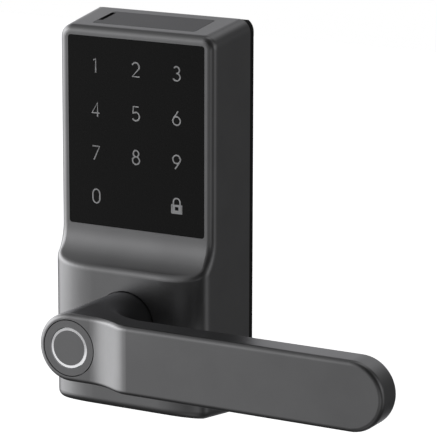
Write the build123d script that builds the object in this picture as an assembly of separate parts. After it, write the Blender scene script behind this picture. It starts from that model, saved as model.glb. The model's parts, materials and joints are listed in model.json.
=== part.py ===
from build123d import *
import math
import os

# Keypad smart lock, outside unit, in millimetres.
# X is right seen from the front, Y points into the door, Z is up.
# The origin is on the lever's axis, in the face that lies against the door.
# Depths are measured from that face towards the front, so a depth d lies at Y = -d.

# Housing form
housing_width = 68.0
housing_top_z = 111.65
housing_bottom_z = -37.35
side_draft = 2.6
top_draft = 7.45
bottom_draft = 6.4
keypad_depth = 27.8
base_depth = 36.3
cove_radius = 15.0
cove_top_z = 33.2
top_corner_radius = 4.9
shoulder_width = 18.0
shoulder_depth = 7.0
lip_radius = 2.9
bottom_edge_radius = 3.3
side_wall = 2.5
front_wall = 4.0

# Clearances
slip_gap = 0.05
seat_gap = 0.02
trim_gap = 0.15
free_gap = 0.3

# How far a cutting body runs past what it cuts, and how near an edge must be to be picked
overshoot = 1.0
pick_margin = 0.01

# Rear gasket, plate, screws and posts
gasket_thickness = 2.35
gasket_top_drop = 0.8
gasket_band = 3.0
plate_thickness = 1.5
plate_screw_inset = 5.8
plate_screw_top_drop = 13.65
plate_screw_middle_z = 28.0
plate_screw_bottom_rise = 7.35
plate_screw_radius = 1.5
plate_screw_head_radius = 2.5
plate_screw_length = 9.0
plate_boss_radius = 3.2
plate_boss_length = 11.0
post_spacing = 38.1
post_radius = 4.0
post_length = 20.0
post_thread_radius = 2.1
post_thread_length = 16.0
post_spigot_radius = 2.6

# Keypad panel and what lies behind it
panel_margin = 5.25
panel_bottom_z = 33.8
panel_top_drop = 7.1
panel_thickness = 2.0
panel_corner_radius = 1.0
panel_sink = 0.08
seal_thickness = 0.3
ledge_width = 3.75
light_guide_thickness = 1.4
touch_board_thickness = 1.6
touch_board_overlap = 2.0
board_screw_radius = 0.8
board_screw_head_radius = 1.6
board_screw_head_height = 1.0
board_screw_bite = 1.1
chip_size = 9.0
chip_pitch = 10.8
chip_height = 1.2
main_board_width = 49.0
main_board_height = 19.0
main_board_gap = 3.1
main_board_depth = 7.8
standoff_x = 20.0
standoff_inset_z = 4.0
standoff_radius = 2.2
buzzer_radius = 6.0
buzzer_edge_gap = 1.0
buzzer_height = 4.0

# Battery lid, tray and cells
lid_margin = 12.4
lid_setback = 5.5
lid_length = 15.5
lid_corner_radius = 1.2
lid_thickness = 1.4
lid_ledge = 1.9
nail_slot_width = 1.8
nail_slot_depth = 1.0
nail_slot_length = 10.0
nail_slot_rear_gap = 1.4
nail_slot_corner = 0.4
lid_seal_width = 0.7
lid_seal_height = 0.8
cell_radius = 5.1
cell_length = 42.8
cell_nub_radius = 1.9
cell_nub_height = 1.2
cell_gap = 0.2
cell_spacing = 0.3
cell_margin = 0.6
tray_wall = 1.5
tray_top_drop = 6.25
contact_thickness = 0.4
contact_spring_height = 1.4

# Lever
lever_height = 25.24
lever_tip_x = 114.5
grip_depth = 80.5
grip_thickness = 11.4
head_step = 5.2
bend_start_x = 13.5
bend_end_x = 23.8
head_bend_radius = 20.0
grip_bend_radius = 13.0
lever_edge_radius = 1.8
neck_seam_radius = 11.95
neck_seam_gap = 0.35
neck_recess = 2.0
neck_straight = 7.4
blend_overlap = 0.9
blend_end_angle = 78.0
blend_steps = 8
least_reach = 0.1
wire_bore_radius = 3.5

# Fingerprint sensor in the lever's head
bezel_radius = 10.2
bezel_inner_radius = 7.65
bezel_groove = 0.35
bezel_thickness = 2.4
ring_radius = 7.35
ring_inner_radius = 6.45
ring_recess = 0.25
sensor_board_thickness = 1.2
sensor_board_radius = 9.5

# Lever bearing, drive hub, stops and spring
shank_radius = 8.0
shank_insert = 12.0
shank_flat = 6.8
shank_grip = 3.7
lever_screw_radius = 2.0
lever_screw_length = 5.0
bush_wall = 2.0
bush_flange_radius = 12.2
bush_flange_thickness = 1.5
bush_setback = 11.3
hub_setback = 2.8
boss_wall = 3.0
hub_flange_radius = 12.5
hub_flange_thickness = 3.0
hub_body_radius = 11.0
hub_length = 11.7
hub_screw_radius = 1.1
lug_reach = 20.0
lug_width = 8.0
lever_swing = 50.0
stop_peg_radius = 2.8
stop_peg_orbit = 17.0
spring_wire = 1.4
spring_turns = 2.0
spring_pitch = 1.9

# Clutch between hub and spindle
sleeve_radius = 7.5
sleeve_proud = 0.2
sleeve_end_wall = 2.5
journal_radius = 6.5
journal_tail = 3.5
spindle_size = 8.0
spindle_chamfer = 0.5
spindle_length_behind = 45.0
clip_thickness = 1.0
clip_width = 2.4
clip_groove = 0.5
pin_setback = 4.2
pin_radius = 2.4
pin_tip_z = 7.9
pin_travel = 2.5
pin_length = 9.6
notch_gap = 0.2
tower_radius = 4.2
tower_top_z = 17.0
screw_radius = 1.2
screw_reach = 6.5
screw_collar_radius = 2.2
screw_collar_height = 1.0
motor_shaft_radius = 0.5
motor_radius = 4.0
motor_length = 12.0
motor_seat_z = 19.4
bracket_size = 9.0
bracket_height = 11.0
bracket_corner = 1.0

# Mechanism plate
mechanism_plate_thickness = 1.5
mechanism_plate_gap = 0.8
mechanism_plate_half_width = 24.8
mechanism_plate_bottom_z = -25.0
mechanism_plate_top_z = 16.5
mechanism_plate_corner = 4.0
mechanism_boss_places = ((-21.0, 12.5), (-21.0, -21.0), (21.0, -21.0))
mechanism_boss_radius = 3.2
mechanism_screw_radius = 1.4
mechanism_screw_head_radius = 2.8
mechanism_screw_head_height = 1.6
mechanism_screw_bite = 8.0

# Sizes that follow from the ones above
housing_rear = gasket_thickness
plate_front = gasket_thickness + plate_thickness
plate_screw_x = housing_width / 2 - plate_screw_inset
plate_screw_heights = (
    housing_top_z - plate_screw_top_drop,
    plate_screw_middle_z,
    housing_bottom_z + plate_screw_bottom_rise,
)
panel_width = housing_width - 2 * panel_margin
panel_front = keypad_depth - panel_sink
panel_rear = panel_front - panel_thickness
recess_floor = panel_rear - seal_thickness
panel_top_z = housing_top_z - panel_top_drop
panel_mid_z = (panel_bottom_z + panel_top_z) / 2
panel_height = panel_top_z - panel_bottom_z
window_width = panel_width - 2 * ledge_width
window_height = panel_height - 2 * ledge_width
touch_board_front = keypad_depth - front_wall - slip_gap
touch_board_rear = touch_board_front - touch_board_thickness
main_board_front = main_board_depth + touch_board_thickness
lid_front_depth = keypad_depth - lid_setback
lid_rear_depth = lid_front_depth - lid_length
lid_mid_depth = (lid_front_depth + lid_rear_depth) / 2
lid_width = housing_width - 2 * lid_margin
opening_width = lid_width - 2 * trim_gap
opening_length = lid_length - 2 * lid_ledge
tray_top_z = housing_top_z - tray_top_drop
plug_bottom_z = tray_top_z + contact_thickness + free_gap
cell_room = lid_width - 2 * cell_margin
cell_count = 2 * int((cell_room + cell_spacing) / (4 * cell_radius + 2 * cell_spacing))
cell_pitch = cell_room / cell_count
well_radius = cell_radius + cell_gap
cell_top_z = plug_bottom_z - contact_thickness - free_gap
cell_bottom_z = cell_top_z - cell_nub_height - cell_length
tray_floor_z = cell_bottom_z - contact_spring_height - contact_thickness
tray_bottom_z = tray_floor_z - tray_wall
main_board_top_z = tray_bottom_z - main_board_gap
main_board_bottom_z = main_board_top_z - main_board_height
main_mid_z = (main_board_bottom_z + main_board_top_z) / 2
lever_half = lever_height / 2
head_depth = grip_depth - head_step
grip_rear = grip_depth - grip_thickness
neck_floor = base_depth - neck_recess
neck_rear = neck_floor + free_gap
blend_front_depth = grip_rear + blend_overlap
blend_radius = blend_front_depth - neck_rear - neck_straight
bush_radius = shank_radius + slip_gap + bush_wall
boss_radius = bush_radius + boss_wall
bush_rear_depth = min(base_depth - bush_setback, keypad_depth - hub_setback)
boss_rear = bush_rear_depth + bush_flange_thickness
base_inner_depth = base_depth - front_wall
hub_front = bush_rear_depth - free_gap
hub_step = hub_front - hub_flange_thickness
hub_rear_depth = hub_front - hub_length
shank_rear_depth = hub_front - shank_grip
hub_bore_radius = sleeve_radius + slip_gap
pin_depth = shank_rear_depth - pin_setback
sleeve_front = shank_rear_depth - 2 * free_gap
spindle_front_depth = sleeve_front - sleeve_end_wall
sleeve_shoulder_depth = hub_rear_depth - sleeve_proud
mechanism_plate_front = sleeve_shoulder_depth - mechanism_plate_gap
mechanism_plate_depth = mechanism_plate_front - mechanism_plate_thickness
journal_rear_depth = mechanism_plate_depth - journal_tail
sensor_rear = head_depth - bezel_thickness


def tangent(degrees):
    return math.tan(math.radians(degrees))


def cosine(degrees):
    return math.cos(math.radians(degrees))


def turned(x, z, degrees):
    """A point of the XZ plane, turned the way the lever turns when it is pressed down."""
    c = cosine(degrees)
    s = math.sin(math.radians(degrees))
    return (x * c + z * s, z * c - x * s)


def y_cylinder(radius, front, rear, x=0.0, z=0.0):
    """A cylinder along Y between two depths."""
    body = Cylinder(radius, front - rear, align=(Align.CENTER, Align.CENTER, Align.MIN))
    return Pos(x, -rear, z) * Rot(90, 0, 0) * body


def y_tube(radius, inner, front, rear, x=0.0, z=0.0):
    bore = y_cylinder(inner, front + overshoot, rear - overshoot, x, z)
    return y_cylinder(radius, front, rear, x, z) - bore


def z_cylinder(radius, bottom, top, x=0.0, depth=0.0):
    """A cylinder along Z between two heights."""
    body = Cylinder(radius, top - bottom, align=(Align.CENTER, Align.CENTER, Align.MIN))
    return Pos(x, -depth, bottom) * body


def slab(width, height, front, rear, x=0.0, z=0.0, corner=0.0):
    """A plate facing the front, centred on x and z, between two depths."""
    outline = RectangleRounded(width, height, corner) if corner else Rectangle(width, height)
    return Pos(x, -rear, z) * extrude(Plane.XZ * outline, amount=front - rear)


def column(width, length, bottom, top, x, depth, corner=0.0):
    """A plate facing up, centred on x and depth, between two heights."""
    outline = RectangleRounded(width, length, corner) if corner else Rectangle(width, length)
    return Pos(x, -depth, bottom) * extrude(outline, amount=top - bottom)


def y_slot(separation, radius, front, rear):
    """A bar with a round left end on the lever's axis, between two depths."""
    outline = Pos(separation / 2, 0) * SlotCenterToCenter(separation, 2 * radius)
    return Pos(0, -rear, 0) * extrude(Plane.XZ * outline, amount=front - rear)


def edges_where(shape, test):
    return ShapeList(edge for edge in shape.edges() if test(edge.center()))


def near(value, wanted):
    return abs(value - wanted) < pick_margin


def joined(shapes):
    shapes = list(shapes)
    whole = shapes[0]
    for shape in shapes[1:]:
        whole = whole + shape
    return whole


def group(shapes):
    return Compound(children=list(shapes))


# Housing form: its slopes, and the block they bound
def half_width(y, inset=0.0):
    return housing_width / 2 + y * tangent(side_draft) - inset / cosine(side_draft)


def top_height(y, inset=0.0):
    return housing_top_z + y * tangent(top_draft) - inset / cosine(top_draft)


def bottom_height(y, inset=0.0):
    return housing_bottom_z - y * tangent(bottom_draft) + inset / cosine(bottom_draft)


def drafted_block(side_inset, front_inset, rear_depth):
    """The housing's form drawn in by the given amounts, with sharp edges."""
    keypad_y = front_inset - keypad_depth
    base_y = front_inset - base_depth
    past_y = base_y - overshoot
    rear_y = -rear_depth
    arc_radius = cove_radius + front_inset
    arc_y = -keypad_depth - cove_radius
    arc_end = math.acos((past_y - arc_y) / arc_radius)

    def on_arc(angle):
        return (arc_y + arc_radius * math.cos(angle), cove_top_z - arc_radius * math.sin(angle))

    outline = Polyline(
        on_arc(arc_end),
        (past_y, bottom_height(past_y, side_inset)),
        (rear_y, bottom_height(rear_y, side_inset)),
        (rear_y, top_height(rear_y, side_inset)),
        (keypad_y, top_height(keypad_y, side_inset)),
        on_arc(0),
    )
    cove = ThreePointArc(on_arc(0), on_arc(arc_end / 2), on_arc(arc_end))
    side_view = extrude(Plane.YZ * make_face([outline, cove]), amount=housing_width, both=True)
    corner = (half_width(base_y, side_inset), base_y)
    side_end = (half_width(base_y + shoulder_depth, side_inset), base_y + shoulder_depth)
    front_end = (corner[0] - shoulder_width, base_y)
    side_start = (half_width(0, side_inset), 0)
    right_half = [Line((0, 0), side_start), Line(side_start, side_end), Bezier(side_end, corner, front_end)]
    left_half = [mirror(edge, Plane.YZ) for edge in right_half]
    front = Line(front_end, (-front_end[0], base_y))
    plan_view = extrude(make_face(right_half + [front] + left_half), amount=2 * housing_top_z, both=True)
    return side_view & plan_view


def round_along_y(shape):
    """Round the four corners of the outline that run from front to back."""
    highest = top_height(-base_depth) - overshoot
    lowest = bottom_height(-base_depth) + overshoot
    side = half_width(-base_depth) - overshoot
    upper = edges_where(shape, lambda c: abs(c.X) > side and c.Z > highest)
    shape = fillet(upper, top_corner_radius)
    lower = edges_where(shape, lambda c: abs(c.X) > side and c.Z < lowest)
    return fillet(lower, bottom_edge_radius)


def housing_form():
    """The outside of the casting with all its roundings."""
    form = drafted_block(0, 0, housing_rear)
    side = half_width(-base_depth) - overshoot
    highest = top_height(-base_depth) - overshoot
    top_edges = edges_where(form, lambda c: abs(c.X) > side and c.Z > highest)
    form = fillet(top_edges, top_corner_radius)
    lip_start = edges_where(
        form, lambda c: near(c.Y, -keypad_depth) and near(c.Z, top_height(-keypad_depth))
    )
    form = fillet(lip_start, lip_radius)
    bottom_start = edges_where(form, lambda c: near(c.X, 0) and near(c.Y, -base_depth) and c.Z < 0)
    return fillet(bottom_start, bottom_edge_radius)


def top_layer(upper_inset, lower_inset):
    """The layer between two planes parallel to the sloping top face."""
    front_y = -base_depth
    outline = Polyline(
        (front_y, top_height(front_y, upper_inset)),
        (0, top_height(0, upper_inset)),
        (0, top_height(0, lower_inset)),
        (front_y, top_height(front_y, lower_inset)),
        close=True,
    )
    return extrude(Plane.YZ * make_face(outline), amount=housing_width, both=True)


def lid_prism(width, length, bottom=plug_bottom_z, corner=lid_corner_radius):
    return column(width, length, bottom, housing_top_z + overshoot, 0, lid_mid_depth, corner)


# Stop pegs: one under the lug at rest, one above it when the lever is down
stop_offset = lug_width / 2 + stop_peg_radius + free_gap
stop_places = [(-stop_peg_orbit, -stop_offset), turned(-stop_peg_orbit, stop_offset, lever_swing)]
plate_screw_places = [(side * plate_screw_x, z) for side in (-1, 1) for z in plate_screw_heights]
post_places = [(side * post_spacing / 2, 0) for side in (-1, 1)]
board_corner_x = window_width / 2 + touch_board_overlap / 2
board_corner_z = window_height / 2 + touch_board_overlap / 2
board_screw_places = [
    (i * board_corner_x, panel_mid_z + j * board_corner_z)
    for i in (-1, 1)
    for j in (-1, 1)
]
standoff_places = [
    (side * standoff_x, z)
    for side in (-1, 1)
    for z in (main_board_bottom_z + standoff_inset_z, main_board_top_z - standoff_inset_z)
]


def build_front_housing():
    form = housing_form()
    cavity = drafted_block(side_wall, front_wall, housing_rear - overshoot)
    shell = form - cavity
    shell = shell - slab(
        panel_width + 2 * trim_gap, panel_height + 2 * trim_gap, keypad_depth + overshoot, recess_floor,
        0, panel_mid_z, panel_corner_radius + trim_gap,
    )
    shell = shell - slab(window_width, window_height, keypad_depth, recess_floor - front_wall, 0, panel_mid_z)
    recess = lid_prism(lid_width + 2 * trim_gap, lid_length + 2 * trim_gap, tray_bottom_z)
    shell = shell - (recess & top_layer(-overshoot, lid_thickness + slip_gap))
    shell = shell - lid_prism(opening_width, opening_length, tray_bottom_z)

    inside = base_inner_depth + front_wall / 2
    bosses = [y_cylinder(boss_radius, inside, boss_rear)]
    bosses += [y_cylinder(stop_peg_radius, inside, hub_step + slip_gap, x, z) for x, z in stop_places]
    bosses += [
        y_cylinder(mechanism_boss_radius, inside, mechanism_plate_front, x, z)
        for x, z in mechanism_boss_places
    ]
    bosses += [
        y_cylinder(plate_boss_radius, plate_front + plate_boss_length, plate_front, x, z)
        for x, z in plate_screw_places
    ]
    shell = shell + (joined(bosses) & drafted_block(side_wall / 2, front_wall / 2, housing_rear))

    shell = shell - y_cylinder(neck_seam_radius + neck_seam_gap, base_depth + overshoot, neck_floor)
    shell = shell - y_cylinder(bush_radius + seat_gap, base_depth, boss_rear - overshoot)
    for places, radius, rear, bite in (
        (mechanism_boss_places, mechanism_screw_radius, mechanism_plate_front, mechanism_screw_bite),
        (plate_screw_places, plate_screw_radius, plate_front, plate_screw_length),
        (board_screw_places, board_screw_radius, keypad_depth - front_wall, board_screw_bite),
    ):
        for x, z in places:
            shell = shell - y_cylinder(radius + seat_gap, rear + bite, rear - overshoot, x, z)
    return shell


def build_keypad():
    """The touch panel, its seal and light guide, and the two boards behind them."""
    panel = slab(panel_width, panel_height, panel_front, panel_rear, 0, panel_mid_z, panel_corner_radius)
    seal = slab(panel_width, panel_height, panel_rear, recess_floor, 0, panel_mid_z, panel_corner_radius)
    seal = seal - slab(window_width, window_height, panel_front, recess_floor - overshoot, 0, panel_mid_z)
    guide_front = panel_rear - slip_gap
    guide = slab(
        window_width - 2 * free_gap, window_height - 2 * free_gap,
        guide_front, guide_front - light_guide_thickness, 0, panel_mid_z,
    )
    board_width = window_width + 2 * touch_board_overlap
    board_height = window_height + 2 * touch_board_overlap
    touch_board = slab(board_width, board_height, touch_board_front, touch_board_rear, 0, panel_mid_z)
    for i in (-1, 0, 1):
        chip_rear = touch_board_rear - chip_height
        chip = slab(chip_size, chip_size, touch_board_rear, chip_rear, i * chip_pitch, main_mid_z)
        touch_board = touch_board + chip
    for x, z in board_screw_places:
        touch_board = touch_board - y_cylinder(
            board_screw_radius + seat_gap, touch_board_front + overshoot, touch_board_rear - overshoot, x, z
        )
    screw_front = keypad_depth - front_wall + board_screw_bite - slip_gap
    screws = [
        y_cylinder(board_screw_radius, screw_front, touch_board_rear, x, z)
        + y_cylinder(
            board_screw_head_radius, touch_board_rear, touch_board_rear - board_screw_head_height, x, z
        )
        for x, z in board_screw_places
    ]
    main_board = slab(
        main_board_width, main_board_height, main_board_front, main_board_depth, 0, main_mid_z
    )
    main_board = main_board + slab(
        chip_size, chip_size, main_board_front + chip_height, main_board_front, chip_size, main_mid_z
    )
    standoffs = [
        y_cylinder(standoff_radius, touch_board_rear, main_board_front, x, z) for x, z in standoff_places
    ]
    buzzer_z = main_board_top_z - buzzer_edge_gap - buzzer_radius
    buzzer = y_cylinder(
        buzzer_radius, main_board_front + buzzer_height, main_board_front, -buzzer_radius, buzzer_z
    )
    return {
        "keypad_panel": panel,
        "panel_seal": seal,
        "light_guide": guide,
        "touch_board": touch_board,
        "board_screws": group(screws),
        "main_board": main_board,
        "board_standoffs": group(standoffs),
        "buzzer": buzzer,
    }


def build_battery():
    """The tray with its cells and contacts, and the lid above them."""
    first_x = -(cell_count - 1) * cell_pitch / 2
    cell_places = [first_x + i * cell_pitch for i in range(cell_count)]
    well_span = (cell_count - 1) * cell_pitch + 2 * well_radius
    tray = column(
        well_span + 2 * tray_wall, 2 * (well_radius + tray_wall), tray_bottom_z, tray_top_z,
        0, lid_mid_depth, tray_wall,
    )
    foot_rear = plate_front + slip_gap
    foot_height = tray_top_z - tray_bottom_z
    for x in (cell_places[0], cell_places[-1]):
        tray = tray + slab(
            tray_wall, foot_height, lid_mid_depth - well_radius - tray_wall / 2, foot_rear,
            x, tray_bottom_z + foot_height / 2,
        )
    for x in cell_places:
        tray = tray - z_cylinder(well_radius, tray_floor_z, tray_top_z + overshoot, x, lid_mid_depth)
    cells = []
    springs = []
    tops = []
    for x in cell_places:
        can_top = cell_bottom_z + cell_length
        can = z_cylinder(cell_radius, cell_bottom_z, can_top, x, lid_mid_depth)
        nub = z_cylinder(cell_nub_radius, can_top, can_top + cell_nub_height, x, lid_mid_depth)
        cells.append(can + nub)
        plate_top = tray_floor_z + contact_thickness
        plate = z_cylinder(cell_radius - cell_gap, tray_floor_z, plate_top, x, lid_mid_depth)
        cone = Cone(
            cell_radius / 2, cell_nub_radius, contact_spring_height,
            align=(Align.CENTER, Align.CENTER, Align.MIN),
        )
        springs.append(plate + Pos(x, -lid_mid_depth, plate_top) * cone)
    for i in range(0, cell_count, 2):
        strip_x = (cell_places[i] + cell_places[i + 1]) / 2
        tops.append(
            column(
                cell_pitch + 2 * cell_nub_radius, 2 * cell_nub_radius,
                plug_bottom_z - contact_thickness, plug_bottom_z, strip_x, lid_mid_depth,
            )
        )

    seal_gap = trim_gap + slip_gap
    seal_width = opening_width - 2 * seal_gap
    seal_length = opening_length - 2 * seal_gap
    plug_width = seal_width - 2 * lid_seal_width
    plug_length = seal_length - 2 * lid_seal_width
    lid = lid_prism(lid_width, lid_length) & top_layer(0, lid_thickness)
    plug = lid_prism(plug_width, plug_length) & top_layer(lid_thickness, housing_top_z)
    lid = lid + plug
    slot_mid = lid_rear_depth + nail_slot_rear_gap + nail_slot_length / 2
    slot = column(
        2 * nail_slot_width, nail_slot_length, plug_bottom_z, housing_top_z + overshoot,
        -lid_width / 2, slot_mid, nail_slot_corner,
    )
    lid = lid - (slot & top_layer(-overshoot, nail_slot_depth))
    seal_top = plug_bottom_z + lid_seal_height
    seal = column(
        seal_width, seal_length, plug_bottom_z, seal_top, 0, lid_mid_depth, lid_corner_radius
    )
    seal = seal - lid_prism(plug_width, plug_length, plug_bottom_z - overshoot)
    return {
        "battery_tray": tray,
        "battery_cells": group(cells),
        "cell_contacts": group(springs),
        "battery_lid": lid,
        "lid_seal": seal,
        "lid_contacts": group(tops),
    }


def build_back():
    """The gasket against the door, the steel plate, its screws and the threaded posts."""
    outer = round_along_y(drafted_block(0, 0, 0))
    inner = drafted_block(gasket_band, 0, -overshoot)
    gasket_top_z = housing_top_z - gasket_top_drop
    band = column(2 * housing_width, 2 * gasket_thickness, -housing_top_z, gasket_top_z, 0, 0)
    gasket = (outer & band) - inner

    plate_mid = plate_front - plate_thickness / 2
    plate_layer = column(
        2 * housing_width, plate_thickness, -housing_top_z, 2 * housing_top_z, 0, plate_mid
    )
    plate_inset = side_wall + free_gap
    plate = drafted_block(plate_inset, 0, 0) & plate_layer
    plate = plate - y_cylinder(sleeve_radius + free_gap, plate_front + overshoot, 0)
    posts = []
    for x, z in post_places:
        plate = plate - y_cylinder(post_spigot_radius + seat_gap, plate_front + overshoot, 0, x, z)
        post = y_cylinder(post_radius, gasket_thickness, -post_length, x, z)
        post = post + y_cylinder(post_spigot_radius, plate_front, gasket_thickness, x, z)
        thread_front = post_thread_length - post_length
        thread = y_cylinder(post_thread_radius, thread_front, -post_length - overshoot, x, z)
        posts.append(post - thread)
    screws = []
    for x, z in plate_screw_places:
        shank_front = plate_front + plate_screw_length - free_gap
        shank = y_cylinder(plate_screw_radius, shank_front, gasket_thickness, x, z)
        head = Cone(
            plate_screw_head_radius, plate_screw_radius, plate_thickness,
            align=(Align.CENTER, Align.CENTER, Align.MIN),
        )
        screw = shank + Pos(x, -gasket_thickness, z) * Rot(90, 0, 0) * head
        screws.append(screw)
        hole = Cone(
            plate_screw_head_radius + slip_gap, plate_screw_radius + slip_gap, plate_thickness,
            align=(Align.CENTER, Align.CENTER, Align.MIN),
        )
        plate = plate - Pos(x, -gasket_thickness, z) * Rot(90, 0, 0) * hole
    return {
        "rear_gasket": gasket,
        "rear_plate": plate,
        "plate_screws": group(screws),
        "mounting_posts": group(posts),
    }


def lever_bar():
    """Head and grip: a round-ended bar that steps forward in a rounded slope."""
    left_x = -lever_height
    right_x = lever_tip_x + lever_height
    plan = make_face(
        Polyline(
            (left_x, -head_depth),
            (bend_start_x, -head_depth),
            (bend_end_x, -grip_depth),
            (right_x, -grip_depth),
            (right_x, -grip_rear),
            (left_x, -grip_rear),
            close=True,
        )
    )
    for x, depth, radius in (
        (bend_start_x, head_depth, head_bend_radius),
        (bend_end_x, grip_depth, grip_bend_radius),
    ):
        bend = plan.vertices().sort_by_distance((x, -depth, 0))[0]
        plan = fillet(bend, radius)
    plan_view = extrude(plan, amount=lever_height, both=True)
    bar = plan_view & y_slot(lever_tip_x, lever_half, grip_depth + overshoot, grip_rear - overshoot)
    front_edge = edges_where(bar, lambda c: near(c.Y, -grip_depth))
    bar = fillet(front_edge, lever_edge_radius)
    rear_edge = edges_where(bar, lambda c: near(c.Y, -grip_rear))
    return fillet(rear_edge, lever_edge_radius)


def neck_blend():
    """The neck and its concave sweep into the back of the grip, lofted through round-ended sections."""
    start_depth = blend_front_depth - blend_radius
    end_depth = start_depth + blend_radius * math.sin(math.radians(blend_end_angle))
    front_radius = lever_half - slip_gap

    def section(depth, angle=0.0):
        share = (depth - neck_rear) / (end_depth - neck_rear)
        radius = neck_seam_radius + share * (front_radius - neck_seam_radius)
        reach = least_reach + blend_radius * (1 - cosine(angle))
        outline = Pos(reach / 2, 0) * SlotCenterToCenter(reach, 2 * radius)
        return Pos(0, -depth, 0) * (Plane.XZ * outline)

    straight = loft([section(neck_rear), section(start_depth)])
    angles = [blend_end_angle * i / blend_steps for i in range(blend_steps + 1)]
    curved = loft([section(start_depth + blend_radius * math.sin(math.radians(a)), a) for a in angles])
    end_reach = least_reach + blend_radius * (1 - cosine(blend_end_angle))
    backing = y_slot(end_reach, front_radius, grip_rear + 2 * lever_edge_radius, end_depth)
    return straight + curved + backing


def build_lever():
    """The lever, the sensor in its head and the shank in its neck."""
    shank_front = neck_rear + shank_insert
    lever = lever_bar() + neck_blend()
    sensor_floor = sensor_rear - sensor_board_thickness
    lever = lever - y_cylinder(bezel_radius + bezel_groove, head_depth + overshoot, sensor_rear)
    lever = lever - y_cylinder(sensor_board_radius + free_gap, head_depth, sensor_floor)
    lever = lever - y_cylinder(wire_bore_radius, head_depth, neck_rear - overshoot)
    lever = lever - y_cylinder(shank_radius + seat_gap, shank_front, neck_rear - overshoot)
    screw_depth = neck_rear + shank_insert / 2
    screw_hole = z_cylinder(lever_screw_radius + seat_gap, -lever_height, 0, 0, screw_depth)
    lever = lever - screw_hole
    screw_bottom = -neck_seam_radius
    screw = z_cylinder(lever_screw_radius, screw_bottom, screw_bottom + lever_screw_length, 0, screw_depth)

    shank = y_cylinder(shank_radius, shank_front - seat_gap, shank_rear_depth)
    shank = shank - y_cylinder(wire_bore_radius, head_depth, 0)
    shank_flats = slab(2 * shank_radius, 2 * shank_flat, hub_front, shank_rear_depth)
    shank_end = y_cylinder(2 * shank_radius, hub_front, shank_rear_depth) - shank_flats
    shank = shank - shank_end - screw_hole

    bezel = y_tube(bezel_radius, bezel_inner_radius, head_depth, sensor_rear)
    ring = y_tube(ring_radius, ring_inner_radius, head_depth - ring_recess, sensor_rear)
    window = y_cylinder(ring_inner_radius - slip_gap, head_depth, sensor_rear)
    board = y_cylinder(sensor_board_radius, sensor_rear, sensor_floor)
    return {
        "lever_handle": lever,
        "fingerprint_bezel": bezel,
        "light_ring": ring,
        "sensor_window": window,
        "sensor_board": board,
        "lever_shank": shank,
        "lever_screw": screw,
    }


def build_bearing():
    """The bush in the housing, the return spring round it and the plate behind the clutch."""
    bush = y_cylinder(bush_radius, neck_floor, boss_rear)
    bush = bush + y_cylinder(bush_flange_radius, boss_rear, bush_rear_depth)
    bush = bush - y_cylinder(shank_radius + slip_gap, base_depth, 0)
    coil_radius = boss_radius + free_gap + spring_wire / 2
    coil_length = spring_turns * spring_pitch
    coil_middle = (base_inner_depth + boss_rear) / 2
    path = Helix(spring_pitch, coil_length, coil_radius)
    wire = Plane(path @ 0, x_dir=(1, 0, 0), z_dir=path % 0) * Rectangle(spring_wire, spring_wire)
    spring = Pos(0, coil_length / 2 - coil_middle, 0) * Rot(90, 0, 0) * sweep(wire, path, is_frenet=True)

    mid_z = (mechanism_plate_bottom_z + mechanism_plate_top_z) / 2
    plate = slab(
        2 * mechanism_plate_half_width, mechanism_plate_top_z - mechanism_plate_bottom_z,
        mechanism_plate_front, mechanism_plate_depth, 0, mid_z, mechanism_plate_corner,
    )
    plate = plate - y_cylinder(journal_radius + slip_gap, base_depth, 0)
    screws = []
    for x, z in mechanism_boss_places:
        plate = plate - y_cylinder(mechanism_screw_radius + seat_gap, base_depth, 0, x, z)
        shank_front = mechanism_plate_front + mechanism_screw_bite - free_gap
        head_rear = mechanism_plate_depth - mechanism_screw_head_height
        shank = y_cylinder(mechanism_screw_radius, shank_front, mechanism_plate_depth, x, z)
        screws.append(shank + y_cylinder(mechanism_screw_head_radius, mechanism_plate_depth, head_rear, x, z))
    return {
        "lever_bush": bush,
        "return_spring": spring,
        "mechanism_plate": plate,
        "mechanism_screws": group(screws),
    }


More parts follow.
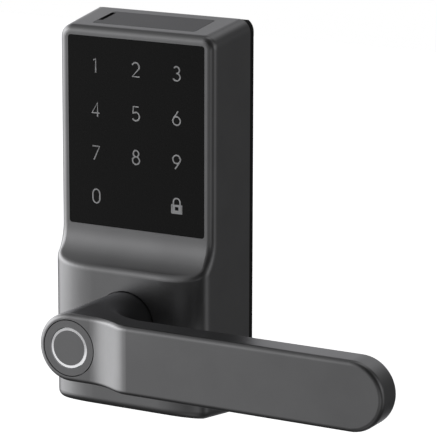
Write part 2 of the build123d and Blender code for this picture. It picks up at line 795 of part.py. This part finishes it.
def build_clutch():
    """The hub on the lever's shank, the motor it carries, and the sleeve and spindle it drives."""
    hub = y_cylinder(hub_flange_radius, hub_front, hub_step)
    hub = hub + slab(lug_reach, lug_width, hub_front, hub_step, -lug_reach / 2, 0)
    hub = hub + y_cylinder(hub_body_radius, hub_step, hub_rear_depth)
    hub = hub + z_cylinder(tower_radius, sleeve_radius, tower_top_z, 0, pin_depth)
    hub = hub - y_cylinder(hub_bore_radius, shank_rear_depth, 0)
    shank_bore = y_cylinder(shank_radius + seat_gap, base_depth, shank_rear_depth)
    hub = hub - (shank_bore & slab(4 * shank_radius, 2 * (shank_flat + seat_gap), base_depth, 0))
    hub = hub - z_cylinder(pin_radius + slip_gap, 0, tower_top_z + overshoot, 0, pin_depth)
    hub_screw_depth = (hub_front + hub_step) / 2
    hub_screws = []
    for bottom in (shank_flat + seat_gap, -hub_flange_radius):
        top = bottom + hub_flange_radius - shank_flat - seat_gap
        hub = hub - z_cylinder(
            hub_screw_radius + seat_gap, bottom - overshoot, top + overshoot, 0, hub_screw_depth
        )
        hub_screws.append(z_cylinder(hub_screw_radius, bottom, top - slip_gap, 0, hub_screw_depth))

    pin = z_cylinder(pin_radius, pin_tip_z, pin_tip_z + pin_length, 0, pin_depth)
    collar_bottom = motor_seat_z - free_gap - screw_collar_height
    screw_bottom = collar_bottom - screw_reach
    pin = pin - z_cylinder(
        screw_radius + slip_gap, screw_bottom - pin_travel - free_gap, tower_top_z + pin_length, 0, pin_depth
    )
    screw = z_cylinder(screw_radius, screw_bottom, collar_bottom, 0, pin_depth)
    screw = screw + z_cylinder(
        screw_collar_radius, collar_bottom, collar_bottom + screw_collar_height, 0, pin_depth
    )
    shaft_top = motor_seat_z + motor_length / 2
    screw = screw + z_cylinder(motor_shaft_radius, collar_bottom, shaft_top, 0, pin_depth)
    motor = z_cylinder(motor_radius, motor_seat_z, motor_seat_z + motor_length, 0, pin_depth)
    motor = motor - z_cylinder(motor_shaft_radius + slip_gap, 0, shaft_top + free_gap, 0, pin_depth)
    bracket_top_z = tower_top_z + bracket_height
    bracket = column(bracket_size, bracket_size, tower_top_z, bracket_top_z, 0, pin_depth, bracket_corner)
    bracket = bracket - z_cylinder(motor_radius + seat_gap, motor_seat_z, housing_top_z, 0, pin_depth)
    bracket = bracket - z_cylinder(pin_radius + free_gap, 0, housing_top_z, 0, pin_depth)

    socket = spindle_size + 2 * slip_gap
    sleeve = y_cylinder(sleeve_radius, sleeve_front, sleeve_shoulder_depth)
    sleeve = sleeve + y_cylinder(journal_radius, sleeve_shoulder_depth, journal_rear_depth)
    sleeve = sleeve - slab(socket, socket, spindle_front_depth + slip_gap, 0)
    notch_side = 2 * (pin_radius + notch_gap)
    notch_floor = pin_tip_z - pin_travel - free_gap
    sleeve = sleeve - column(notch_side, notch_side, notch_floor, housing_top_z, 0, pin_depth)
    clip_front = mechanism_plate_depth - free_gap
    groove_radius = journal_radius - clip_groove
    clip_rear = clip_front - clip_thickness
    sleeve = sleeve - y_tube(2 * journal_radius, groove_radius, clip_front + seat_gap, clip_rear - seat_gap)
    clip = y_tube(groove_radius + seat_gap + clip_width, groove_radius + seat_gap, clip_front, clip_rear)
    clip = clip - slab(groove_radius, lug_reach, base_depth, 0, 0, -lug_reach / 2)
    spindle = slab(spindle_size, spindle_size, spindle_front_depth, -spindle_length_behind)
    spindle = chamfer(spindle.edges().filter_by(Axis.Y), spindle_chamfer)
    return {
        "drive_hub": hub,
        "hub_screws": group(hub_screws),
        "motor_bracket": bracket,
        "clutch_motor": motor,
        "clutch_screw": screw,
        "clutch_pin": pin,
        "clutch_sleeve": sleeve,
        "sleeve_clip": clip,
        "spindle": spindle,
    }


parts = {"front_housing": build_front_housing()}
for build in (build_keypad, build_battery, build_back, build_lever, build_bearing, build_clutch):
    parts.update(build())

os.makedirs("parts", exist_ok=True)
for name, shape in parts.items():
    export_step(shape, f"parts/{name}.step")
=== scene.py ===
import json
import math

import bmesh
import bpy
from mathutils import Matrix, Vector


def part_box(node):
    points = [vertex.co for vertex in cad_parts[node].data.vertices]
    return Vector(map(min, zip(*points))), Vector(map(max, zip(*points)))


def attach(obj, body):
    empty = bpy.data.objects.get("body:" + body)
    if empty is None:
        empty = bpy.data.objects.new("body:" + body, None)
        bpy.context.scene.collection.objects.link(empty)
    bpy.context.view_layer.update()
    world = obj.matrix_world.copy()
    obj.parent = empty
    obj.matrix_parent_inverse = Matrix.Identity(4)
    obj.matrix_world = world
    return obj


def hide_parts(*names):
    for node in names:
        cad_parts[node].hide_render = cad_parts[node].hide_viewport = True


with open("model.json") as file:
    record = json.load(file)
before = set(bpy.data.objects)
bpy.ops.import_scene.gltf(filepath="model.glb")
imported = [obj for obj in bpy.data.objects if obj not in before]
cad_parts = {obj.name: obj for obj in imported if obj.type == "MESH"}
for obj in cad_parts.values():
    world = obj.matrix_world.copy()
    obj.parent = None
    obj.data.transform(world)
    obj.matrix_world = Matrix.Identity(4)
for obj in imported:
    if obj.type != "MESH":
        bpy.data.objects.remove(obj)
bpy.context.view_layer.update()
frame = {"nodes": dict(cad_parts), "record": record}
nodes = frame["nodes"]

MM = 0.001

# Camera: metres and degrees, fitted to a picture of 437 by 440 pixels
PICTURE_SIDE = 440
FOCAL_PIXELS = 2765.3
SENSOR_WIDTH = 36.0
CAMERA_TARGET = Vector((19.40, 0.0, 34.14)) * MM
CAMERA_DISTANCE = 1036.5 * MM
CAMERA_YAW = 29.015
CAMERA_PITCH = 13.021
CAMERA_ROLL = 0.133
CAMERA_REACH = 100.0

# Surfaces: texture scales in waves per metre, grain height in millimetres
MOTTLE_SCALE = 60.0
MOTTLE_DETAIL = 3.0
GRAIN_DETAIL = 2.0
GRAIN_HEIGHT = 0.02
ROUGHNESS_STOPS = (0.3, 0.7)
COLOUR_STOPS = (0.35, 0.65)
GREY_BLUE = 1.02

# Share of light that metal keeps where it is seen edge on
METAL_EDGE = 0.65

# Bare metal at the top of a battery cell: its height in millimetres and its grey
CELL_CAP = 2.4
CELL_CAP_GREY = 0.55

# Glow of the sensor's light ring, at its bottom and at its top; the dimmer top is painted shade
RING_GLOW_BOTTOM = 0.58
RING_GLOW_TOP_PAINTED_SHADE = 0.25

# Keypad legend, in millimetres
DIGIT_HEIGHT = 5.2
STROKE_WIDTH = 0.58
STROKE_ROUNDING = 3
LEGEND_RELIEF = 0.03
COLUMNS = 3
COLUMN_PITCH = 17.2
MIDDLE_COLUMN_X = 0.1
ROWS = 4
ROW_PITCH = 16.35
TOP_ROW_Z = 93.75
LOCK_SIGN_HEIGHT = 6.6

# Driver recesses of the screws that show, in millimetres
CROSS_LENGTH = 3.0
CROSS_WIDTH = 0.7
CROSS_DEPTH = 0.9
SOCKET_SIDES = 6
SOCKET_RADIUS = 1.15
SOCKET_DEPTH = 1.6
WELD_DISTANCE = 0.001

# Studio sky: soft lobes of light, as strengths by elevation and azimuth.
# Azimuth 0 is in front of the lock and 90 is on its left, where the main light is.
LOBE_SHARPNESS = 20.0
SKY_LOBES = {
    80: {180: 0.5},
    45: {45: 0.24, 90: 0.27, 180: 0.35, 270: 0.12},
    15: {30: 0.37, 60: 2.0, 90: 2.3, 120: 2.2, 150: 0.55, 180: 0.6, 240: 0.18, 270: 0.38},
    -15: {0: 0.1, 30: 0.2, 60: 1.1, 90: 1.5, 160: 1.0, 210: 0.06, 240: 0.05, 270: 0.2, 330: 0.26},
    -60: {0: 0.2, 180: 0.2},
}

# Share of the white background that metal and clear pieces show
REFLECTED_WHITE = 0.04

# Floor, in metres: a door lock sits about a metre above it
FLOOR_HEIGHT = -1.0
FLOOR_SIDE = 12.0
FLOOR_GLOW = 0.88
FLOOR_ROUGHNESS = 0.8
FLOOR_MOTTLE_SCALE = 3.0
FLOOR_DARKEST = 0.78
FLOOR_LIGHTEST = 0.80


# Shader parts
def new_material(name):
    material = bpy.data.materials.new(name)
    material.use_nodes = True
    tree = material.node_tree
    return material, tree, tree.nodes["Principled BSDF"]


def math_node(tree, operation, *values):
    node = tree.nodes.new("ShaderNodeMath")
    node.operation = operation
    for socket, value in zip(node.inputs, values):
        if isinstance(value, (int, float)):
            socket.default_value = value
        else:
            tree.links.new(value, socket)
    return node.outputs["Value"]


def noise(tree, scale, detail=MOTTLE_DETAIL):
    coordinates = tree.nodes.new("ShaderNodeTexCoord")
    texture = tree.nodes.new("ShaderNodeTexNoise")
    texture.inputs["Scale"].default_value = scale
    texture.inputs["Detail"].default_value = detail
    tree.links.new(coordinates.outputs["Object"], texture.inputs["Vector"])
    return texture.outputs["Fac"]


def spread(tree, source, low, high):
    """Map a texture's middle range onto low to high."""
    scale = tree.nodes.new("ShaderNodeMapRange")
    scale.inputs["From Min"].default_value = ROUGHNESS_STOPS[0]
    scale.inputs["From Max"].default_value = ROUGHNESS_STOPS[1]
    scale.inputs["To Min"].default_value = low
    scale.inputs["To Max"].default_value = high
    tree.links.new(source, scale.inputs["Value"])
    return scale.outputs["Result"]


def tint(tree, source, low, high):
    """Blend between two colours by a texture."""
    ramp = tree.nodes.new("ShaderNodeValToRGB")
    for element, position, colour in zip(ramp.color_ramp.elements, COLOUR_STOPS, (low, high)):
        element.position = position
        element.color = (*colour, 1.0)
    tree.links.new(source, ramp.inputs["Fac"])
    return ramp.outputs["Color"]


def grain(tree, shader, source, strength):
    bump = tree.nodes.new("ShaderNodeBump")
    bump.inputs["Strength"].default_value = strength
    bump.inputs["Distance"].default_value = GRAIN_HEIGHT * MM
    tree.links.new(source, bump.inputs["Height"])
    tree.links.new(bump.outputs["Normal"], shader.inputs["Normal"])


def along_z(tree, box):
    """A value that rises from 0 at the bottom of a box to 1 at its top."""
    coordinates = tree.nodes.new("ShaderNodeTexCoord")
    parts = tree.nodes.new("ShaderNodeSeparateXYZ")
    tree.links.new(coordinates.outputs["Object"], parts.inputs["Vector"])
    scale = tree.nodes.new("ShaderNodeMapRange")
    scale.inputs["From Min"].default_value = box[0].z
    scale.inputs["From Max"].default_value = box[1].z
    tree.links.new(parts.outputs["Z"], scale.inputs["Value"])
    return scale.outputs["Result"]


def grey(value):
    """A grey with a touch more blue."""
    return (value, value, value * GREY_BLUE)


def textured(name, low, high, roughness, grain_scale, grain_strength, metallic=0.0, specular=0.5):
    """A surface with soft colour mottling, uneven roughness and a fine grain."""
    material, tree, shader = new_material(name)
    shader.inputs["Metallic"].default_value = metallic
    shader.inputs["Specular IOR Level"].default_value = specular
    if metallic:
        shader.inputs["Specular Tint"].default_value = (*grey(METAL_EDGE), 1.0)
    broad = noise(tree, MOTTLE_SCALE)
    fine = noise(tree, grain_scale, GRAIN_DETAIL)
    tree.links.new(tint(tree, broad, low, high), shader.inputs["Base Color"])
    tree.links.new(spread(tree, fine, *roughness), shader.inputs["Roughness"])
    grain(tree, shader, fine, grain_strength)
    return material


def satin_metal(name, low, high, grain_scale):
    """A smooth satin coat with a metal sheen."""
    return textured(
        name, grey(low), grey(high), roughness=(0.28, 0.32),
        grain_scale=grain_scale, grain_strength=0.06, metallic=1.0,
    )


def bare_cell_tops(material):
    """Bare metal on the top of the cells, above their printed sleeve."""
    tree = material.node_tree
    shader = tree.nodes["Principled BSDF"]
    low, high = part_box("battery_cells")
    share = CELL_CAP * MM / (high.z - low.z)
    bare = math_node(tree, "GREATER_THAN", along_z(tree, (low, high)), 1.0 - share)
    mix = tree.nodes.new("ShaderNodeMixRGB")
    mix.inputs["Color2"].default_value = (*grey(CELL_CAP_GREY), 1.0)
    tree.links.new(bare, mix.inputs["Fac"])
    tree.links.new(shader.inputs["Base Color"].links[0].from_socket, mix.inputs["Color1"])
    tree.links.new(mix.outputs["Color"], shader.inputs["Base Color"])
    tree.links.new(bare, shader.inputs["Metallic"])


def glow_ring_with_painted_shade(material):
    """A glow that fades from the bottom of the light ring to its top; the dimmer top is painted shade."""
    tree = material.node_tree
    shader = tree.nodes["Principled BSDF"]
    painted_shade_fade = along_z(tree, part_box("light_ring"))
    glow = tint(tree, painted_shade_fade, grey(RING_GLOW_BOTTOM), grey(RING_GLOW_TOP_PAINTED_SHADE))
    tree.links.new(glow, shader.inputs["Emission Color"])
    shader.inputs["Emission Strength"].default_value = 1.0


# Surfaces, each with its darkest and lightest colour
gunmetal = satin_metal("satin_gunmetal", 0.29, 0.31, grain_scale=4200.0)
lever_metal = satin_metal("lever_gunmetal", 0.29, 0.31, grain_scale=4200.0)
sensor_metal = satin_metal("sensor_metal", 0.29, 0.31, grain_scale=4200.0)
sensor_face = satin_metal("sensor_face", 0.29, 0.31, grain_scale=4600.0)
lid_grey = satin_metal("lid_grey", 0.10, 0.11, grain_scale=3800.0)
panel_black = textured(
    "panel_black", grey(0.0045), grey(0.0055), roughness=(0.24, 0.28),
    grain_scale=900.0, grain_strength=0.01, specular=0.25,
)
rubber = textured(
    "gasket_rubber", grey(0.012), grey(0.018), roughness=(0.6, 0.7),
    grain_scale=2600.0, grain_strength=0.3, specular=0.3,
)
steel = textured(
    "zinc_steel", grey(0.50), grey(0.58), roughness=(0.36, 0.44),
    grain_scale=900.0, grain_strength=0.06, metallic=0.6,
)
brass = textured(
    "brass", (0.60, 0.43, 0.18), (0.68, 0.50, 0.22), roughness=(0.25, 0.33),
    grain_scale=900.0, grain_strength=0.06, metallic=1.0,
)
board = textured(
    "circuit_board", (0.01, 0.10, 0.05), (0.015, 0.13, 0.06), roughness=(0.35, 0.45),
    grain_scale=1500.0, grain_strength=0.2,
)
tray_black = textured(
    "tray_plastic", grey(0.018), grey(0.024), roughness=(0.5, 0.6),
    grain_scale=2200.0, grain_strength=0.25,
)
clear_plastic = textured(
    "frosted_plastic", grey(0.70), grey(0.76), roughness=(0.35, 0.45),
    grain_scale=1200.0, grain_strength=0.05,
)
cell_wrap = textured(
    "cell_wrap", (0.03, 0.10, 0.22), (0.04, 0.12, 0.25), roughness=(0.25, 0.32),
    grain_scale=700.0, grain_strength=0.03,
)
bare_cell_tops(cell_wrap)
legend_grey = textured(
    "legend_grey", grey(0.78), grey(0.82), roughness=(0.45, 0.55),
    grain_scale=2500.0, grain_strength=0.05, specular=0.2,
)
light_white = textured(
    "light_white", grey(0.80), grey(0.86), roughness=(0.3, 0.4),
    grain_scale=1500.0, grain_strength=0.03,
)
# The light ring's glow, dimmed toward its top as painted shade
glow_ring_with_painted_shade(light_white)

SLOT_MATERIAL = {
    "housing_metal": gunmetal,
    "lever_metal": lever_metal,
    "panel_black": panel_black,
    "lid_grey": lid_grey,
    "gasket_rubber": rubber,
    "sensor_metal": sensor_metal,
    "light_white": light_white,
    "sensor_face": sensor_face,
    "steel": steel,
    "brass": brass,
    "board": board,
    "tray_black": tray_black,
    "clear_plastic": clear_plastic,
    "cell_wrap": cell_wrap,
}
for subpart in frame["record"]["subparts"]:
    mesh = nodes[subpart["node"]].data
    mesh.materials.clear()
    mesh.materials.append(SLOT_MATERIAL[subpart["material_slot"]])


# Keypad legend: each sign is a set of strokes in units of its own height
def arc(x, z, across, up, start, end, steps=20):
    angles = [math.radians(start + (end - start) * i / steps) for i in range(steps + 1)]
    return [(x + across * math.cos(a), z + up * math.sin(a)) for a in angles]


DIGIT_STROKES = {
    "0": [arc(0, 0.66, 0.29, 0.34, 0, 180) + arc(0, 0.34, 0.29, 0.34, 180, 360) + [(0.29, 0.66)]],
    "1": [[(-0.18, 0.90), (0.02, 1.0), (0.02, 0.0)]],
    "2": [arc(0, 0.71, 0.29, 0.29, 160, -38) + [(-0.28, 0.0), (0.31, 0.0)]],
    "3": [arc(0, 0.765, 0.235, 0.235, 150, -90) + arc(0, 0.265, 0.285, 0.265, 90, -155)],
    "4": [[(0.14, 0.0), (0.14, 1.0), (-0.31, 0.26), (0.31, 0.26)]],
    "5": [[(0.22, 1.0), (-0.21, 1.0), (-0.25, 0.52)] + arc(-0.01, 0.30, 0.30, 0.30, 128, -150)],
    "6": [arc(0, 0.30, 0.30, 0.30, 150, 510, 32), [(-0.262, 0.445), (0.12, 1.0)]],
    "7": [[(-0.29, 1.0), (0.29, 1.0), (-0.17, 0.0)]],
    "8": [arc(0, 0.775, 0.225, 0.225, -90, 270, 28), arc(0, 0.275, 0.28, 0.275, 90, 450, 28)],
    "9": [arc(0, 0.70, 0.30, 0.30, -30, 330, 32), [(0.262, 0.555), (-0.12, 0.0)]],
}


def padlock():
    """A plain padlock: a body filled in around its keyhole, and a bow on top."""
    side = 0.32
    bottom = 0.08
    top = 0.54
    bow_side = 0.21
    bow_foot = 0.58
    bow_middle = 0.72
    fill_side = 0.27
    full_rows = (0.13, 0.20, 0.48)
    keyhole_side = 0.11
    keyhole_rows = (0.27, 0.34, 0.41)
    body = [(-side, bottom), (-side, top), (side, top), (side, bottom), (-side, bottom)]
    bow = [(-bow_side, bow_foot)] + arc(0, bow_middle, bow_side, bow_side, 180, 0) + [(bow_side, bow_foot)]
    fill = [[(-fill_side, z), (fill_side, z)] for z in full_rows]
    fill += [[(end * fill_side, z), (end * keyhole_side, z)] for end in (-1, 1) for z in keyhole_rows]
    return [body, bow] + fill


def ribbon(name, strokes, height, x, y, z):
    """Flat strokes lying on the panel, as one mesh with rounded ends."""
    curve = bpy.data.curves.new(name, "CURVE")
    curve.dimensions = "3D"
    curve.bevel_depth = STROKE_WIDTH * MM / 2
    curve.bevel_resolution = STROKE_ROUNDING
    curve.use_fill_caps = True
    for stroke in strokes:
        spline = curve.splines.new("POLY")
        spline.points.add(len(stroke) - 1)
        for point, (across, up) in zip(spline.points, stroke):
            point.co = (across * height * MM, 0.0, (up - 0.5) * height * MM, 1.0)
    tube = bpy.data.objects.new(name, curve)
    mesh = bpy.data.meshes.new_from_object(tube)
    bpy.data.objects.remove(tube)
    bpy.data.curves.remove(curve)
    mesh.transform(Matrix.Diagonal((1.0, 2 * LEGEND_RELIEF / STROKE_WIDTH, 1.0, 1.0)))
    mesh.transform(Matrix.Translation((x * MM, y, z * MM)))
    mesh.materials.append(legend_grey)
    sign = bpy.data.objects.new(name, mesh)
    bpy.context.scene.collection.objects.link(sign)
    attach(sign, "housing")


panel_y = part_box("keypad_panel")[0].y
column_x = [MIDDLE_COLUMN_X + (i - COLUMNS // 2) * COLUMN_PITCH for i in range(COLUMNS)]
row_z = [TOP_ROW_Z - i * ROW_PITCH for i in range(ROWS)]
digit_places = {digit: divmod(index, COLUMNS) for index, digit in enumerate("123456789")}
digit_places["0"] = (ROWS - 1, 0)
for digit, (row, column) in digit_places.items():
    ribbon("digit_" + digit, DIGIT_STROKES[digit], DIGIT_HEIGHT, column_x[column], panel_y, row_z[row])
ribbon("lock_sign", padlock(), LOCK_SIGN_HEIGHT, column_x[-1], panel_y, row_z[-1])


# Driver recesses: copies of the screw nodes with crosses or sockets cut into their heads
def solids_of(work):
    """The lowest and highest corner of each separate solid of a mesh."""
    seen = set()
    boxes = []
    for start in work.verts:
        if start in seen:
            continue
        seen.add(start)
        queue = [start]
        points = []
        while queue:
            vertex = queue.pop()
            points.append(vertex.co)
            beside = [edge.other_vert(vertex) for edge in vertex.link_edges]
            unseen = [other for other in beside if other not in seen]
            seen.update(unseen)
            queue += unseen
        low = Vector(min(p[i] for p in points) for i in range(3))
        high = Vector(max(p[i] for p in points) for i in range(3))
        boxes.append((low, high))
    return boxes


def cross_cutter(work, low, high):
    """Two crossed bars that reach into the back of a screw's head, and as far out of it."""
    middle = (low + high) / 2
    middle.y = high.y
    for across, up in ((CROSS_LENGTH, CROSS_WIDTH), (CROSS_WIDTH, CROSS_LENGTH)):
        shape = Matrix.Diagonal((across * MM, 2 * CROSS_DEPTH * MM, up * MM, 1.0))
        bmesh.ops.create_cube(work, size=1.0, matrix=Matrix.Translation(middle) @ shape)


def socket_cutter(work, low, high):
    """A six-sided bar that reaches into the lower end of a screw, and as far out of it."""
    middle = (low + high) / 2
    middle.z = low.z
    radius = SOCKET_RADIUS * MM
    bmesh.ops.create_cone(
        work, cap_ends=True, segments=SOCKET_SIDES, radius1=radius, radius2=radius,
        depth=2 * SOCKET_DEPTH * MM, matrix=Matrix.Translation(middle),
    )


def piece_from(work, name):
    mesh = bpy.data.meshes.new(name)
    work.to_mesh(mesh)
    work.free()
    piece = bpy.data.objects.new(name, mesh)
    bpy.context.scene.collection.objects.link(piece)
    return piece


def cut_away(blank, tool):
    """The mesh of one piece less another, both of which are then removed."""
    cut = blank.modifiers.new("recess", "BOOLEAN")
    cut.operation = "DIFFERENCE"
    cut.solver = "EXACT"
    cut.use_self = True
    cut.object = tool
    result = blank.evaluated_get(bpy.context.evaluated_depsgraph_get())
    mesh = bpy.data.meshes.new_from_object(result)
    for used in (blank, tool):
        old = used.data
        bpy.data.objects.remove(used)
        bpy.data.meshes.remove(old)
    return mesh


def cut_recesses(node, body, cutter):
    screws = bmesh.new()
    screws.from_mesh(nodes[node].data)
    bmesh.ops.remove_doubles(screws, verts=screws.verts, dist=WELD_DISTANCE * MM)
    drivers = bmesh.new()
    for low, high in solids_of(screws):
        cutter(drivers, low, high)
    mesh = cut_away(piece_from(screws, node + "_blank"), piece_from(drivers, node + "_driver"))
    mesh.materials.clear()
    mesh.materials.append(steel)
    piece = bpy.data.objects.new(node + "_recessed", mesh)
    bpy.context.scene.collection.objects.link(piece)
    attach(piece, body)
    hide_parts(node)


cut_recesses("plate_screws", "housing", cross_cutter)
cut_recesses("lever_screw", "lever", socket_cutter)


# Camera
def place_camera():
    yaw = math.radians(CAMERA_YAW)
    pitch = math.radians(CAMERA_PITCH)
    back = Vector((math.sin(yaw) * math.cos(pitch), -math.cos(yaw) * math.cos(pitch), math.sin(pitch)))
    right = Vector((0, 0, 1)).cross(back).normalized()
    up = back.cross(right)
    turn = Matrix((right, up, back)).transposed() @ Matrix.Rotation(math.radians(CAMERA_ROLL), 3, "Z")
    data = bpy.data.cameras.new("camera")
    data.sensor_width = SENSOR_WIDTH
    data.lens = FOCAL_PIXELS / PICTURE_SIDE * SENSOR_WIDTH
    data.clip_end = CAMERA_REACH
    camera = bpy.data.objects.new("camera", data)
    camera.matrix_world = Matrix.Translation(CAMERA_TARGET + back * CAMERA_DISTANCE) @ turn.to_4x4()
    bpy.context.scene.collection.objects.link(camera)
    bpy.context.scene.camera = camera


place_camera()


# Studio: a sky of soft lobes round the lock, white where the camera looks past it
def sky_lobe(tree, direction, azimuth, elevation, strength):
    """Light that is strongest from one direction and fades smoothly around it."""
    around = math.radians(azimuth)
    up = math.radians(elevation)
    facing = tree.nodes.new("ShaderNodeVectorMath")
    facing.operation = "DOT_PRODUCT"
    facing.inputs[1].default_value = (
        -math.sin(around) * math.cos(up), -math.cos(around) * math.cos(up), math.sin(up)
    )
    tree.links.new(direction, facing.inputs[0])
    towards = math_node(tree, "MAXIMUM", facing.outputs["Value"], 0.0)
    return math_node(tree, "MULTIPLY", math_node(tree, "POWER", towards, LOBE_SHARPNESS), strength)


def white_level(tree):
    """Full white for the camera, and a share of it for what metal and clear pieces show."""
    path = tree.nodes.new("ShaderNodeLightPath").outputs
    mirrored = math_node(tree, "ADD", path["Is Glossy Ray"], path["Is Transmission Ray"])
    return math_node(tree, "MULTIPLY_ADD", mirrored, REFLECTED_WHITE, path["Is Camera Ray"])


def light_world():
    world = bpy.data.worlds.new("studio")
    world.use_nodes = True
    bpy.context.scene.world = world
    tree = world.node_tree
    direction = tree.nodes.new("ShaderNodeTexCoord").outputs["Generated"]
    total = 0.0
    for elevation, row in SKY_LOBES.items():
        for azimuth, strength in row.items():
            total = math_node(tree, "ADD", sky_lobe(tree, direction, azimuth, elevation, strength), total)
    seen = tree.nodes.new("ShaderNodeLightPath").outputs["Is Camera Ray"]
    unseen = math_node(tree, "SUBTRACT", 1.0, seen)
    level = math_node(tree, "ADD", math_node(tree, "MULTIPLY", total, unseen), white_level(tree))
    background = tree.nodes["Background"]
    background.inputs["Color"].default_value = (1.0, 1.0, 1.0, 1.0)
    tree.links.new(level, background.inputs["Strength"])


light_world()


def lay_floor():
    side = FLOOR_SIDE / 2
    corners = [(x, y, FLOOR_HEIGHT) for x, y in ((-side, -side), (side, -side), (side, side), (-side, side))]
    mesh = bpy.data.meshes.new("floor")
    mesh.from_pydata(corners, [], [(0, 1, 2, 3)])
    floor = bpy.data.objects.new("floor", mesh)
    bpy.context.scene.collection.objects.link(floor)
    material, tree, shader = new_material("floor_white")
    shader.inputs["Roughness"].default_value = FLOOR_ROUGHNESS
    mottle = noise(tree, FLOOR_MOTTLE_SCALE)
    pale = tint(tree, mottle, grey(FLOOR_DARKEST), grey(FLOOR_LIGHTEST))
    tree.links.new(pale, shader.inputs["Base Color"])
    shader.inputs["Emission Color"].default_value = (1.0, 1.0, 1.0, 1.0)
    glow = math_node(tree, "MULTIPLY", white_level(tree), FLOOR_GLOW)
    tree.links.new(glow, shader.inputs["Emission Strength"])
    mesh.materials.append(material)
    floor.visible_diffuse = False
    floor.visible_glossy = False
    floor.visible_shadow = False


lay_floor()

bpy.context.scene.view_settings.view_transform = "Standard"
